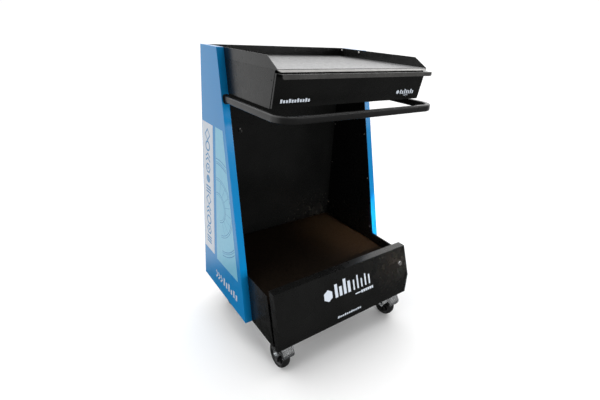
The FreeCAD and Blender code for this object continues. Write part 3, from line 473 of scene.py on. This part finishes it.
def dress_nodes(looks):
    """Gives every CAD node its material and rounds its edges, by node name or else by material slot."""
    group = weld_and_smooth()
    # Painted highlight: the worktop tray's front lip is painted paler.
    tray_highlight = (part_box("worktop_tray")[0].y + LIP_HIGHLIGHT, TRAY_LIP_TOP - LIP_HIGHLIGHT)
    # Painted reflection: the front of the top drawer's finger grip is painted paler.
    grip_highlight = (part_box("top_drawer_front")[0].y + GRIP_HIGHLIGHT, 0)
    own = {
        "worktop_tray": powder_coat("tray_powder_coat", BLACK_COAT, 0.24, 0.42, tray_highlight, 0.32),
        "top_drawer_front": powder_coat("front_powder_coat", BLACK_COAT, 0.27, 0.34, grip_highlight, 0.062),
        "cable_hook": hook_steel(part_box("cable_hook")[1].y - HOOK_PLATE),
    }
    for entry in frame["record"]["subparts"]:
        name, slot = entry["node"], entry["material_slot"]
        node = frame["nodes"][name]
        node.data.materials.clear()
        node.data.materials.append(own.get(name, looks[slot]))
        finish_edges(node, group, EDGE_ROUND.get(name, EDGE_ROUND.get(slot, SHEET_ROUND)))


# ---- new pieces -------------------------------------------------------------
def make_mesh(name, vertices, faces):
    """Mesh whose faces all look outwards."""
    mesh = bpy.data.meshes.new(name)
    mesh.from_pydata([tuple(v) for v in vertices], [], faces)
    mesh.validate()
    shape = bmesh.new()
    shape.from_mesh(mesh)
    bmesh.ops.recalc_face_normals(shape, faces=shape.faces)
    shape.to_mesh(mesh)
    shape.free()
    return mesh


def make_piece(name, vertices, faces, look, body, slot, smooth=True, sharp=None):
    """Mesh object riding on a body. sharp is the angle in degrees above which edges stay sharp."""
    mesh = make_mesh(name, vertices, faces)
    mesh.materials.append(look)
    if smooth:
        mesh.shade_smooth()
    if sharp:
        mesh.set_sharp_from_angle(angle=math.radians(sharp))
    piece = bpy.data.objects.new(name, mesh)
    bpy.context.scene.collection.objects.link(piece)
    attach(piece, body)
    return piece


class Shape:
    """Vertices and faces of one piece, gathered from simple solids."""

    def __init__(self):
        self.vertices = []
        self.faces = []

    def add(self, vertices, faces):
        start = len(self.vertices)
        self.vertices.extend(vertices)
        self.faces.extend(tuple(start + i for i in face) for face in faces)

    def loft(self, rings, closed=False):
        """Skin over rings of equal point counts; closed joins the last to the first, else both are capped."""
        count = len(rings[0])
        faces = []
        for i in range(len(rings) if closed else len(rings) - 1):
            low, high = i * count, (i + 1) % len(rings) * count
            for k in range(count):
                after = (k + 1) % count
                faces.append((low + k, low + after, high + after, high + k))
        if not closed:
            faces.append(tuple(range(count)))
            faces.append(tuple((len(rings) - 1) * count + k for k in range(count)))
        self.add([p for ring in rings for p in ring], faces)

    def prism(self, outline, thickness):
        """Closed solid from a flat outline and the vector of its thickness."""
        self.loft([outline, [p + thickness for p in outline]])

    def piece(self, name, look, body, slot, **options):
        return make_piece(name, self.vertices, self.faces, look, body, slot, **options)


def arc(radius, start, end, steps, centre=(0.0, 0.0)):
    """Points of an arc, angles in degrees."""
    points = []
    for i in range(steps + 1):
        turn = math.radians(start + (end - start) * i / steps)
        points.append((centre[0] + radius * math.cos(turn), centre[1] + radius * math.sin(turn)))
    return points


# ---- push handle ------------------------------------------------------------
HANDLE_THICK = 18 * MM
HANDLE_CORNER = 6 * MM
HANDLE_BEND = 50 * MM                # centre line's radius
CORNER_STEPS = 6
BEND_STEPS = 28


def make_handle(looks):
    """Rounded rectangular tube swept round the front, with smooth bends."""
    low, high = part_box("push_handle")
    middle = (low.z + high.z) / 2
    half_w = HANDLE_THICK / 2
    half_h = (high.z - low.z) / 2
    inner_w = half_w - HANDLE_CORNER
    inner_h = half_h - HANDLE_CORNER
    section = []
    for quarter, (sign_w, sign_h) in enumerate(((1, 1), (-1, 1), (-1, -1), (1, -1))):
        section += arc(HANDLE_CORNER, 90 * quarter, 90 * quarter + 90, CORNER_STEPS,
                       (sign_w * inner_w, sign_h * inner_h))
    arm_x = high.x - half_w
    front_y = low.y + half_w
    turn_y = front_y + HANDLE_BEND
    turn_x = arm_x - HANDLE_BEND
    route = [((arm_x, high.y), 0.0)]
    route += [((turn_x + x, turn_y - y), math.atan2(y, x)) for x, y in arc(HANDLE_BEND, 0, 90, BEND_STEPS)]
    mirrored = [((-x, y), math.pi - turn) for (x, y), turn in reversed(route)]
    rings = []
    for (x, y), turn in route + mirrored:
        outward = Vector((math.cos(turn), -math.sin(turn), 0))
        centre = Vector((x, y, middle))
        rings.append([centre + w * outward + h * Vector((0, 0, 1)) for w, h in section])
    shape = Shape()
    shape.loft(rings)
    piece = shape.piece("push_handle_tube", looks["handle_tube"], "root", "handle_tube", sharp=50)
    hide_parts("push_handle")


# ---- mats and liners --------------------------------------------------------
def height_field(low, high, columns, rows, height):
    """Closed slab whose top follows height(column, row); the sides and bottom are flat."""
    shape = Shape()
    step_x = (high.x - low.x) / columns
    step_y = (high.y - low.y) / rows
    top = []
    for j in range(rows + 1):
        for i in range(columns + 1):
            top.append(Vector((low.x + i * step_x, low.y + j * step_y, height(i, j))))
    wide = columns + 1
    faces = []
    for j in range(rows):
        for i in range(columns):
            corner = j * wide + i
            faces.append((corner, corner + 1, corner + wide + 1, corner + wide))
    rim = list(range(columns)) + [columns + j * wide for j in range(rows)]
    rim += [rows * wide + columns - i for i in range(columns)] + [(rows - j) * wide for j in range(rows)]
    base = len(top)
    foot = [Vector((top[i].x, top[i].y, low.z)) for i in rim]
    for k in range(len(rim)):
        after = (k + 1) % len(rim)
        faces.append((rim[k], base + k, base + after, rim[after]))
    faces.append(tuple(base + k for k in range(len(rim))))
    shape.add(top + foot, faces)
    return shape


WORKTOP_PITCH = 5 * MM
WORKTOP_RELIEF = 0.35 * MM


def make_worktop_mat(looks):
    """Rubber mat with a close grid of low pyramids."""
    low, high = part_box("worktop_mat")
    columns = 2 * round((high.x - low.x) / WORKTOP_PITCH)
    rows = 2 * round((high.y - low.y) / WORKTOP_PITCH)

    def height(i, j):
        return high.z if i % 2 and j % 2 else high.z - WORKTOP_RELIEF

    piece = height_field(low, high, columns, rows, height).piece(
        "worktop_mat_studded", looks["worktop_rubber"], "root", "worktop_rubber", smooth=False)
    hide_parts("worktop_mat")


SHELF_PITCH = 4 * MM
SHELF_RELIEF = 0.5 * MM
SHELF_WAVES = (0.83, 0.07)           # steps through the noise per cell, fine and broad
SHELF_LAYERS = (0.4, 3)              # where each noise is cut
SHELF_GAIN = 1.6


def make_shelf_mat(looks):
    """Granulate mat with an uneven top."""
    low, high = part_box("shelf_mat")
    columns = round((high.x - low.x) / SHELF_PITCH)
    rows = round((high.y - low.y) / SHELF_PITCH)

    def height(i, j):
        fine, broad = [noise.noise(Vector((i * wave, j * wave, layer)))
                       for wave, layer in zip(SHELF_WAVES, SHELF_LAYERS)]
        rough = fine * 0.5 + broad * 0.5
        return high.z - SHELF_RELIEF * (0.5 - 0.5 * max(-1.0, min(1.0, rough * SHELF_GAIN)))

    piece = height_field(low, high, columns, rows, height).piece(
        "shelf_mat_granulate", looks["shelf_rubber"], "root", "shelf_rubber")
    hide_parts("shelf_mat")


LINER_RIB = 4 * MM
LINER_RELIEF = 0.8 * MM


def make_liners(looks):
    """Ribbed liners of both drawers; the ribs run from side to side."""
    for drawer in ("top_drawer", "lower_drawer"):
        low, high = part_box(drawer + "_liner")
        rows = 4 * round((high.y - low.y) / LINER_RIB)

        def height(i, j):
            return high.z if j % 4 in (1, 2) else high.z - LINER_RELIEF

        piece = height_field(low, high, 1, rows, height).piece(
            drawer + "_liner_ribbed", looks["liner_rubber"], drawer, "liner_rubber", smooth=False)
        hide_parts(drawer + "_liner")


# ---- screws -----------------------------------------------------------------
SCREW_HEAD_RADIUS = 4.6 * MM
SCREW_HEAD = 2.6 * MM
SCREW_LENGTH = 9 * MM
SCREW_SHANK_RADIUS = 2.4 * MM
SCREW_REAR = 12.0
SCREW_SETBACK = 13.0                 # behind the column's sloped edge
WALL_SCREW_HEIGHTS = (746.0, 549.0, 329.0)
RIM_SCREW_FORWARD = (13.6, 129.0)
RIM_SCREW_HEIGHT = 1093.0
SCREW_RIM = (0.42, 0.25)             # head height and radius, as shares, where its dome begins
SCREW_AXIS = 0.05 * MM               # radius that is left open round the axis
SCREW_TIP = 0.4 * MM
RECESS_DEPTH = 1.5 * MM
RECESS_ARMS = (2.5 * MM, 0.55 * MM)  # half-length and half-width of each arm
RECESS_TAPER = 0.55
COLUMN_TOP = (144.0, 1103.0)         # forward, height of the sloped edge's ends
COLUMN_FOOT = (384.0, 128.0)


def column_edge(z):
    """Forward distance in millimetres of the column's sloped edge at height z."""
    (f1, z1), (f0, z0) = COLUMN_TOP, COLUMN_FOOT
    return f0 + (f1 - f0) * (z - z0) / (z1 - z0)


def turned_solid(profile, steps):
    """Solid turned about the X axis from a closed outline of (x, radius) points off the axis."""
    rings = []
    for i in range(steps):
        turn = 2 * math.pi * i / steps
        rings.append([Vector((x, r * math.cos(turn), r * math.sin(turn))) for x, r in profile])
    shape = Shape()
    shape.loft(rings, closed=True)
    return shape


def screw_blank():
    """Pan-head screw pointing along +X, its head on the -X side."""
    low_share, near_share = SCREW_RIM
    profile = [(-SCREW_HEAD, SCREW_AXIS)]
    for angle in (10, 30, 50, 70, 90):
        turn = math.radians(angle)
        profile.append((-SCREW_HEAD * (low_share + (1 - low_share) * math.cos(turn)),
                        SCREW_HEAD_RADIUS * (near_share + (1 - near_share) * math.sin(turn))))
    profile += [(0, SCREW_HEAD_RADIUS), (0, SCREW_SHANK_RADIUS), (SCREW_LENGTH, SCREW_SHANK_RADIUS),
                (SCREW_LENGTH + SCREW_TIP, SCREW_AXIS)]
    return turned_solid(profile, 28)


def screw_recess():
    """Two crossed tapered blocks that cut the recess."""
    cross = Shape()
    long, wide = RECESS_ARMS
    for half_y, half_z in ((long, wide), (wide, long)):
        mouth = [Vector((-SCREW_HEAD - MM, y * half_y, z * half_z))
                 for y, z in ((1, 1), (-1, 1), (-1, -1), (1, -1))]
        bottom = [Vector((-SCREW_HEAD + RECESS_DEPTH, RECESS_TAPER * v.y, RECESS_TAPER * v.z)) for v in mouth]
        cross.loft([mouth, bottom])
    return cross


def screw_mesh():
    """Vertices and faces of the screw with its recess cut."""
    blank, tool = [bpy.data.objects.new(name, make_mesh(name, shape.vertices, shape.faces))
                   for name, shape in (("screw_blank", screw_blank()), ("screw_recess", screw_recess()))]
    for obj in (blank, tool):
        bpy.context.scene.collection.objects.link(obj)
    cut = blank.modifiers.new("recess", "BOOLEAN")
    cut.operation = "DIFFERENCE"
    cut.solver = "EXACT"
    cut.use_self = True
    cut.object = tool
    ready = blank.evaluated_get(bpy.context.evaluated_depsgraph_get()).to_mesh()
    vertices = [v.co.copy() for v in ready.vertices]
    faces = [tuple(p.vertices) for p in ready.polygons]
    bpy.data.objects.remove(blank)
    bpy.data.objects.remove(tool)
    return vertices, faces


def make_screws(looks):
    """Cross-recess screws in both side walls and both side rims, each turned differently."""
    vertices, faces = screw_mesh()
    spin = random.Random(4)
    wall = [(SCREW_REAR, z) for z in WALL_SCREW_HEIGHTS]
    wall += [(column_edge(z) - SCREW_SETBACK, z) for z in WALL_SCREW_HEIGHTS]
    rim = [(f, RIM_SCREW_HEIGHT) for f in RIM_SCREW_FORWARD]
    for node, places in (("wall_screws", wall), ("rim_screws", rim)):
        shape = Shape()
        for side in (1, -1):
            for forward, z in places:
                turn = Matrix.Rotation(spin.uniform(0, math.pi), 3, "X")
                centre = at(0, forward, z)
                placed = [turn @ v for v in vertices]
                shape.add([Vector((side * (SHEET_IN + v.x), centre.y + v.y, centre.z + v.z))
                           for v in placed], faces)
        piece = shape.piece(node + "_cross_head", looks["bright_screw"], "root", "bright_screw", sharp=35)
        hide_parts(node)


# ---- wheels -----------------------------------------------------------------
TREAD_CROWN = 0.7 * MM
TYRE_SHOULDER = 9 * MM
SHOULDER_TURN = 80                   # degrees
MOULD_LINE = (0.5 * MM, 0.25 * MM)   # half-width and height of the line round the tread
BEAD_START = 3.6 * MM                # above the hub
BEAD = ((0, 3.4), (0.6, 2.8), (0.6, 1.6), (0, 1.0), (0, 0))    # mm in from the side, above the hub
TYRE_FIT = 0.05 * MM
HUB_WEB = 3 * MM                     # half-thickness
HUB_BORE = 5.1 * MM
HUB_INSET = 2 * MM                   # from the tyre's side to the hub's edge
HUB_BOSS = ((0, 9.5), (1.5, 11))     # mm in from the boss's end, radius
HUB_FILLET = ((2, 12), (0, 14))      # mm above the web, radius
HUB_RIBS = 8
RIB_INNER = 11 * MM
RIB_HALF = 1.3 * MM
RIB_DRAFT = 0.7


def tyre_profile(half, outer, inner):
    """Half-width, outer and inner radius to a crowned tread with round shoulders and a moulding line."""
    flat = half - TYRE_SHOULDER
    line_half, line_height = MOULD_LINE
    side = [(0.0, outer), (line_half, outer - line_height)]
    for share in (0.35, 0.7, 1.0):
        side.append((flat * share, outer - line_height - TREAD_CROWN * share ** 2))
    shoulder = outer - line_height - TREAD_CROWN - TYRE_SHOULDER
    side += [(flat + x, shoulder + r) for x, r in reversed(arc(TYRE_SHOULDER, 0, SHOULDER_TURN, 9))]
    side = [point for point in side if point[1] > inner + BEAD_START]
    side += [(half - x * MM, inner + r * MM) for x, r in BEAD]
    return side + [(-x, r) for x, r in reversed(side[1:])]


def hub_profile(boss, edge, rim):
    """Half-lengths of the boss and of the rim's edge, and the rim's radius, to a hub with a thin web."""
    right = [(boss, HUB_BORE)]
    right += [(boss - x * MM, r * MM) for x, r in HUB_BOSS]
    right += [(HUB_WEB + x * MM, r * MM) for x, r in HUB_FILLET]
    right += [(HUB_WEB, rim - 9 * MM), (HUB_WEB + 1.5 * MM, rim - 7 * MM), (edge - MM, rim - 4 * MM),
              (edge, rim - 3 * MM), (edge, rim)]
    return right + [(-x, r) for x, r in reversed(right)]


def add_ribs(hub, edge, rim):
    """Radial ribs on both sides of the hub's web."""
    outer = rim - 5.5 * MM
    for i in range(HUB_RIBS):
        turn = Matrix.Rotation(2 * math.pi * i / HUB_RIBS, 3, "X")
        for side in (1, -1):
            rings = []
            for x, half in ((HUB_WEB - MM, RIB_HALF), (edge - 3 * MM, RIB_HALF * RIB_DRAFT)):
                corners = ((-half, RIB_INNER), (half, RIB_INNER), (half, outer), (-half, outer))
                rings.append([turn @ Vector((side * x, y, r)) for y, r in corners])
            hub.loft(rings)


def make_wheel(caster, looks):
    """Moulded tyre and ribbed hub of one caster."""
    tyre_low, tyre_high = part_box(caster + "_tyre")
    hub_low, hub_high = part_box(caster + "_hub")
    centre = (tyre_low + tyre_high) / 2
    half = (tyre_high.x - tyre_low.x) / 2
    outer = (tyre_high.z - tyre_low.z) / 2
    rim = (hub_high.z - hub_low.z) / 2
    edge = half - HUB_INSET
    tyre = turned_solid(tyre_profile(half, outer, rim + TYRE_FIT), 72)
    hub = turned_solid(hub_profile((hub_high.x - hub_low.x) / 2, edge, rim), 64)
    add_ribs(hub, edge, rim)
    for shape, node, ending, slot, sharp in ((tyre, "_tyre", "_moulded", "tyre_rubber", 40),
                                             (hub, "_hub", "_ribbed", "hub_plastic", 35)):
        shape.vertices = [v + centre for v in shape.vertices]
        piece = shape.piece(caster + node + ending, looks[slot], caster + "_wheel", slot, sharp=sharp)
        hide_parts(caster + node)


# ---- printed graphics -------------------------------------------------------
FILM_GAP = 0.03 * MM
FILM_THICK = 0.1 * MM


class Print:
    """Flat shapes printed on one face, drawn in millimetres as (u, v) on that face."""

    def __init__(self, origin, across, upward, outward):
        self.origin = origin
        self.across = across
        self.upward = upward
        self.outward = outward
        self.shape = Shape()

    def polygon(self, points):
        base = self.origin + FILM_GAP * self.outward
        outline = [base + u * MM * self.across + v * MM * self.upward for u, v in points]
        self.shape.prism(outline, FILM_THICK * self.outward)

    def bar(self, u0, v0, u1, v1):
        self.polygon([(u0, v0), (u1, v0), (u1, v1), (u0, v1)])

    def row(self, u, v, width, pitch, heights):
        """Row of upright bars from (u, v), at a pitch, with the heights given."""
        for i, height in enumerate(heights):
            self.bar(u + pitch * i, v, u + pitch * i + width, v + height)

    def stroke(self, path, width, closed=False, keep=None):
        """Line of that width along a path, mitred; keep(u, v) says which stretches are printed."""
        count = len(path)
        sides = []
        for i, (u, v) in enumerate(path):
            before = path[i - 1] if i or closed else path[i]
            after = path[(i + 1) % count] if i + 1 < count or closed else path[i]
            du, dv = after[0] - before[0], after[1] - before[1]
            length = math.hypot(du, dv)
            shift = (-dv / length * width / 2, du / length * width / 2)
            sides.append(((u + shift[0], v + shift[1]), (u - shift[0], v - shift[1])))
        for i in range(count if closed else count - 1):
            j = (i + 1) % count
            if keep is None or (keep(*path[i]) and keep(*path[j])):
                self.polygon([sides[i][0], sides[j][0], sides[j][1], sides[i][1]])

    def piece(self, name, look, body, slot):
        return self.shape.piece(name, look, body, slot, smooth=False)


def regular(centre, radius, count, turn=0.0):
    """Corners of a regular polygon; turn is the first corner's angle in degrees."""
    step = 360 / count
    return arc(radius, turn, turn + 360 - step, count - 1, centre)


SIGN_LINE = 7.0


def symbol(drawing, kind, u, v):
    """One abstract sign about 45 by 36 mm, centred on (u, v)."""
    if kind == "ring":
        drawing.stroke(regular((u, v), 18, 24), SIGN_LINE, closed=True)
    elif kind == "bars":
        for shift in (-12, 0, 12):
            drawing.bar(u - 22, v + shift - SIGN_LINE / 2, u + 22, v + shift + SIGN_LINE / 2)
    elif kind == "nut":
        drawing.stroke(regular((u, v), 19, 6), SIGN_LINE, closed=True)
        drawing.polygon(regular((u, v), 6, 6))
    elif kind == "chevrons":
        for shift in (-9, 9):
            drawing.stroke([(u - 20, v + shift - 7), (u, v + shift + 7), (u + 20, v + shift - 7)], SIGN_LINE)
    elif kind == "diamond":
        drawing.stroke(regular((u, v), 22, 4), SIGN_LINE, closed=True)
    else:
        drawing.polygon(regular((u, v), 17, 24))


# Places and sizes on a column's outer face: u is forward of the rear plane, v the height, in millimetres.
STRIP_WHITE = (4.0, 271.0, 103.0, 819.0)          # two opposite corners
STRIP_BLUE = [(127.0, 264.0), (318.0, 268.5), (190.0, 820.0), (126.0, 820.0)]
SIGN_COLUMN = 52.0
SIGN_RANGE = (318.0, 772.0)
SIGN_KINDS = ("bars", "nut", "ring", "chevrons", "diamond", "bars",
              "disc", "nut", "chevrons", "ring", "diamond")
DIAL_CENTRE = (150.0, 505.0)
DIAL_RINGS = ((196, 3.2), (185, 2.0), (178, 3.2), (120, 2.2), (112, 2.2), (60, 2.6), (52, 1.6))
SPOKE_RADII = range(62, 112, 4)
SPOKE_LINE = 1.2
MARK_CHEVRONS = (118, 140, 162)
MARK_FOOT = 176
INKS = {"strips": "white_print", "light_strip": "light_blue_print", "lines": "line_blue_print",
        "signs": "line_blue_print", "mark": "white_print"}


def inside_strip(u, v):
    """True when (u, v) is inside the light blue strip, clear of its border."""
    (low_u, low_v), (foot_u, _), (head_u, high_v), _ = STRIP_BLUE
    edge = foot_u + (head_u - foot_u) * (v - low_v) / (high_v - low_v)
    return low_u + 2 < u < edge - 2 and low_v + 3 < v < high_v - 2


def dial(drawing):
    """Rings and spokes of a plain dial, as far as they fall on the light blue strip."""
    for radius, width in DIAL_RINGS:
        drawing.stroke(arc(radius, -80, 110, 150, DIAL_CENTRE), width, keep=inside_strip)
    centre_u, centre_v = DIAL_CENTRE
    for spoke in range(-60, 100, 20):
        turn = math.radians(spoke)
        ray = [(centre_u + r * math.cos(turn), centre_v + r * math.sin(turn)) for r in SPOKE_RADII]
        drawing.stroke(ray, SPOKE_LINE, keep=inside_strip)


def side_graphics(side, looks):
    """Strips, signs, a dial and a small mark on one column's outer face."""
    name = "right" if side > 0 else "left"
    outward = Vector((side, 0, 0))
    layers = {}
    for layer, lift in (("strips", 0), ("light_strip", 0), ("lines", 1), ("signs", 1), ("mark", 0)):
        origin = Vector((side * SIDE, REAR, 0)) + lift * (FILM_THICK + FILM_GAP) * outward
        layers[layer] = Print(origin, Vector((0, -1, 0)), Vector((0, 0, 1)), outward)
    layers["strips"].bar(*STRIP_WHITE)
    layers["light_strip"].polygon(STRIP_BLUE)
    first, last = SIGN_RANGE
    for i, kind in enumerate(SIGN_KINDS):
        symbol(layers["signs"], kind, SIGN_COLUMN, first + (last - first) * i / (len(SIGN_KINDS) - 1))
    dial(layers["lines"])
    for u in MARK_CHEVRONS:
        layers["mark"].stroke([(u, 205), (u + 16, 190), (u, 175)], 8)
    layers["mark"].row(190, MARK_FOOT, 12, 22, (34, 26, 34, 20, 30, 24))
    for layer, drawing in layers.items():
        ink = INKS[layer]
        slot = "light_blue_print" if ink == "line_blue_print" else ink
        drawing.piece(name + "_side_" + layer, looks[ink], "root", slot)


LOWER_FOOT = (566.5, 128.0)          # forward, height of the lower front's outer corners
LOWER_RIDGE = (568.0, 214.5)
LOWER_HEAD = (526.0, 334.0)
TOP_FOOT = (475.0, 953.0)
TOP_HEAD = (496.0, 1058.0)


def face_print(foot, head):
    """Print on a front face; u is x and v is measured up the face from its foot."""
    low = at(0, *foot)
    upward = (at(0, *head) - low).normalized()
    across = Vector((1, 0, 0))
    return Print(low, across, upward, across.cross(upward))


def front_graphics(looks):
    """Generic marks on both drawer fronts: hexagons, bars and dashes, in millimetres on each face."""
    emblem = face_print(LOWER_RIDGE, LOWER_HEAD)
    emblem.polygon(regular((-102, 50), 22, 6, 30))
    emblem.row(-70, 32, 13, 21, (50, 36, 58, 44))
    emblem.row(20, 32, 7, 20, (40, 52, 34, 46, 38))
    emblem.bar(26, 13, 52, 17)
    emblem.row(56, 10, 8, 11, [10] * 6)
    emblem.piece("lower_front_emblem", looks["white_print"], "lower_drawer", "white_print")
    note = face_print(LOWER_FOOT, LOWER_RIDGE)
    note.row(-57, 24, 8, 11, [8 if i % 3 else 10 for i in range(11)])
    note.piece("lower_front_dashes", looks["white_print"], "lower_drawer", "white_print")
    top = face_print(TOP_FOOT, TOP_HEAD)
    top.row(-297, 16, 7, 10, [9 if i % 3 else 12 for i in range(11)])
    top.polygon(regular((203, 30), 7.5, 6, 30))
    top.row(216, 22, 6, 11, (16, 12, 18, 14, 12, 17, 12))
    top.bar(238, 16, 262, 18)
    top.piece("top_front_marks", looks["white_print"], "top_drawer", "white_print")


# ---- everything -------------------------------------------------------------
make_camera()
make_world()
make_floor()
make_lamps()
looks = make_looks()
dress_nodes(looks)
make_handle(looks)
make_worktop_mat(looks)
make_shelf_mat(looks)
make_liners(looks)
make_screws(looks)
for caster in ("front_left", "front_right", "rear_left", "rear_right"):
    make_wheel(caster, looks)
for side in (1, -1):
    side_graphics(side, looks)
front_graphics(looks)
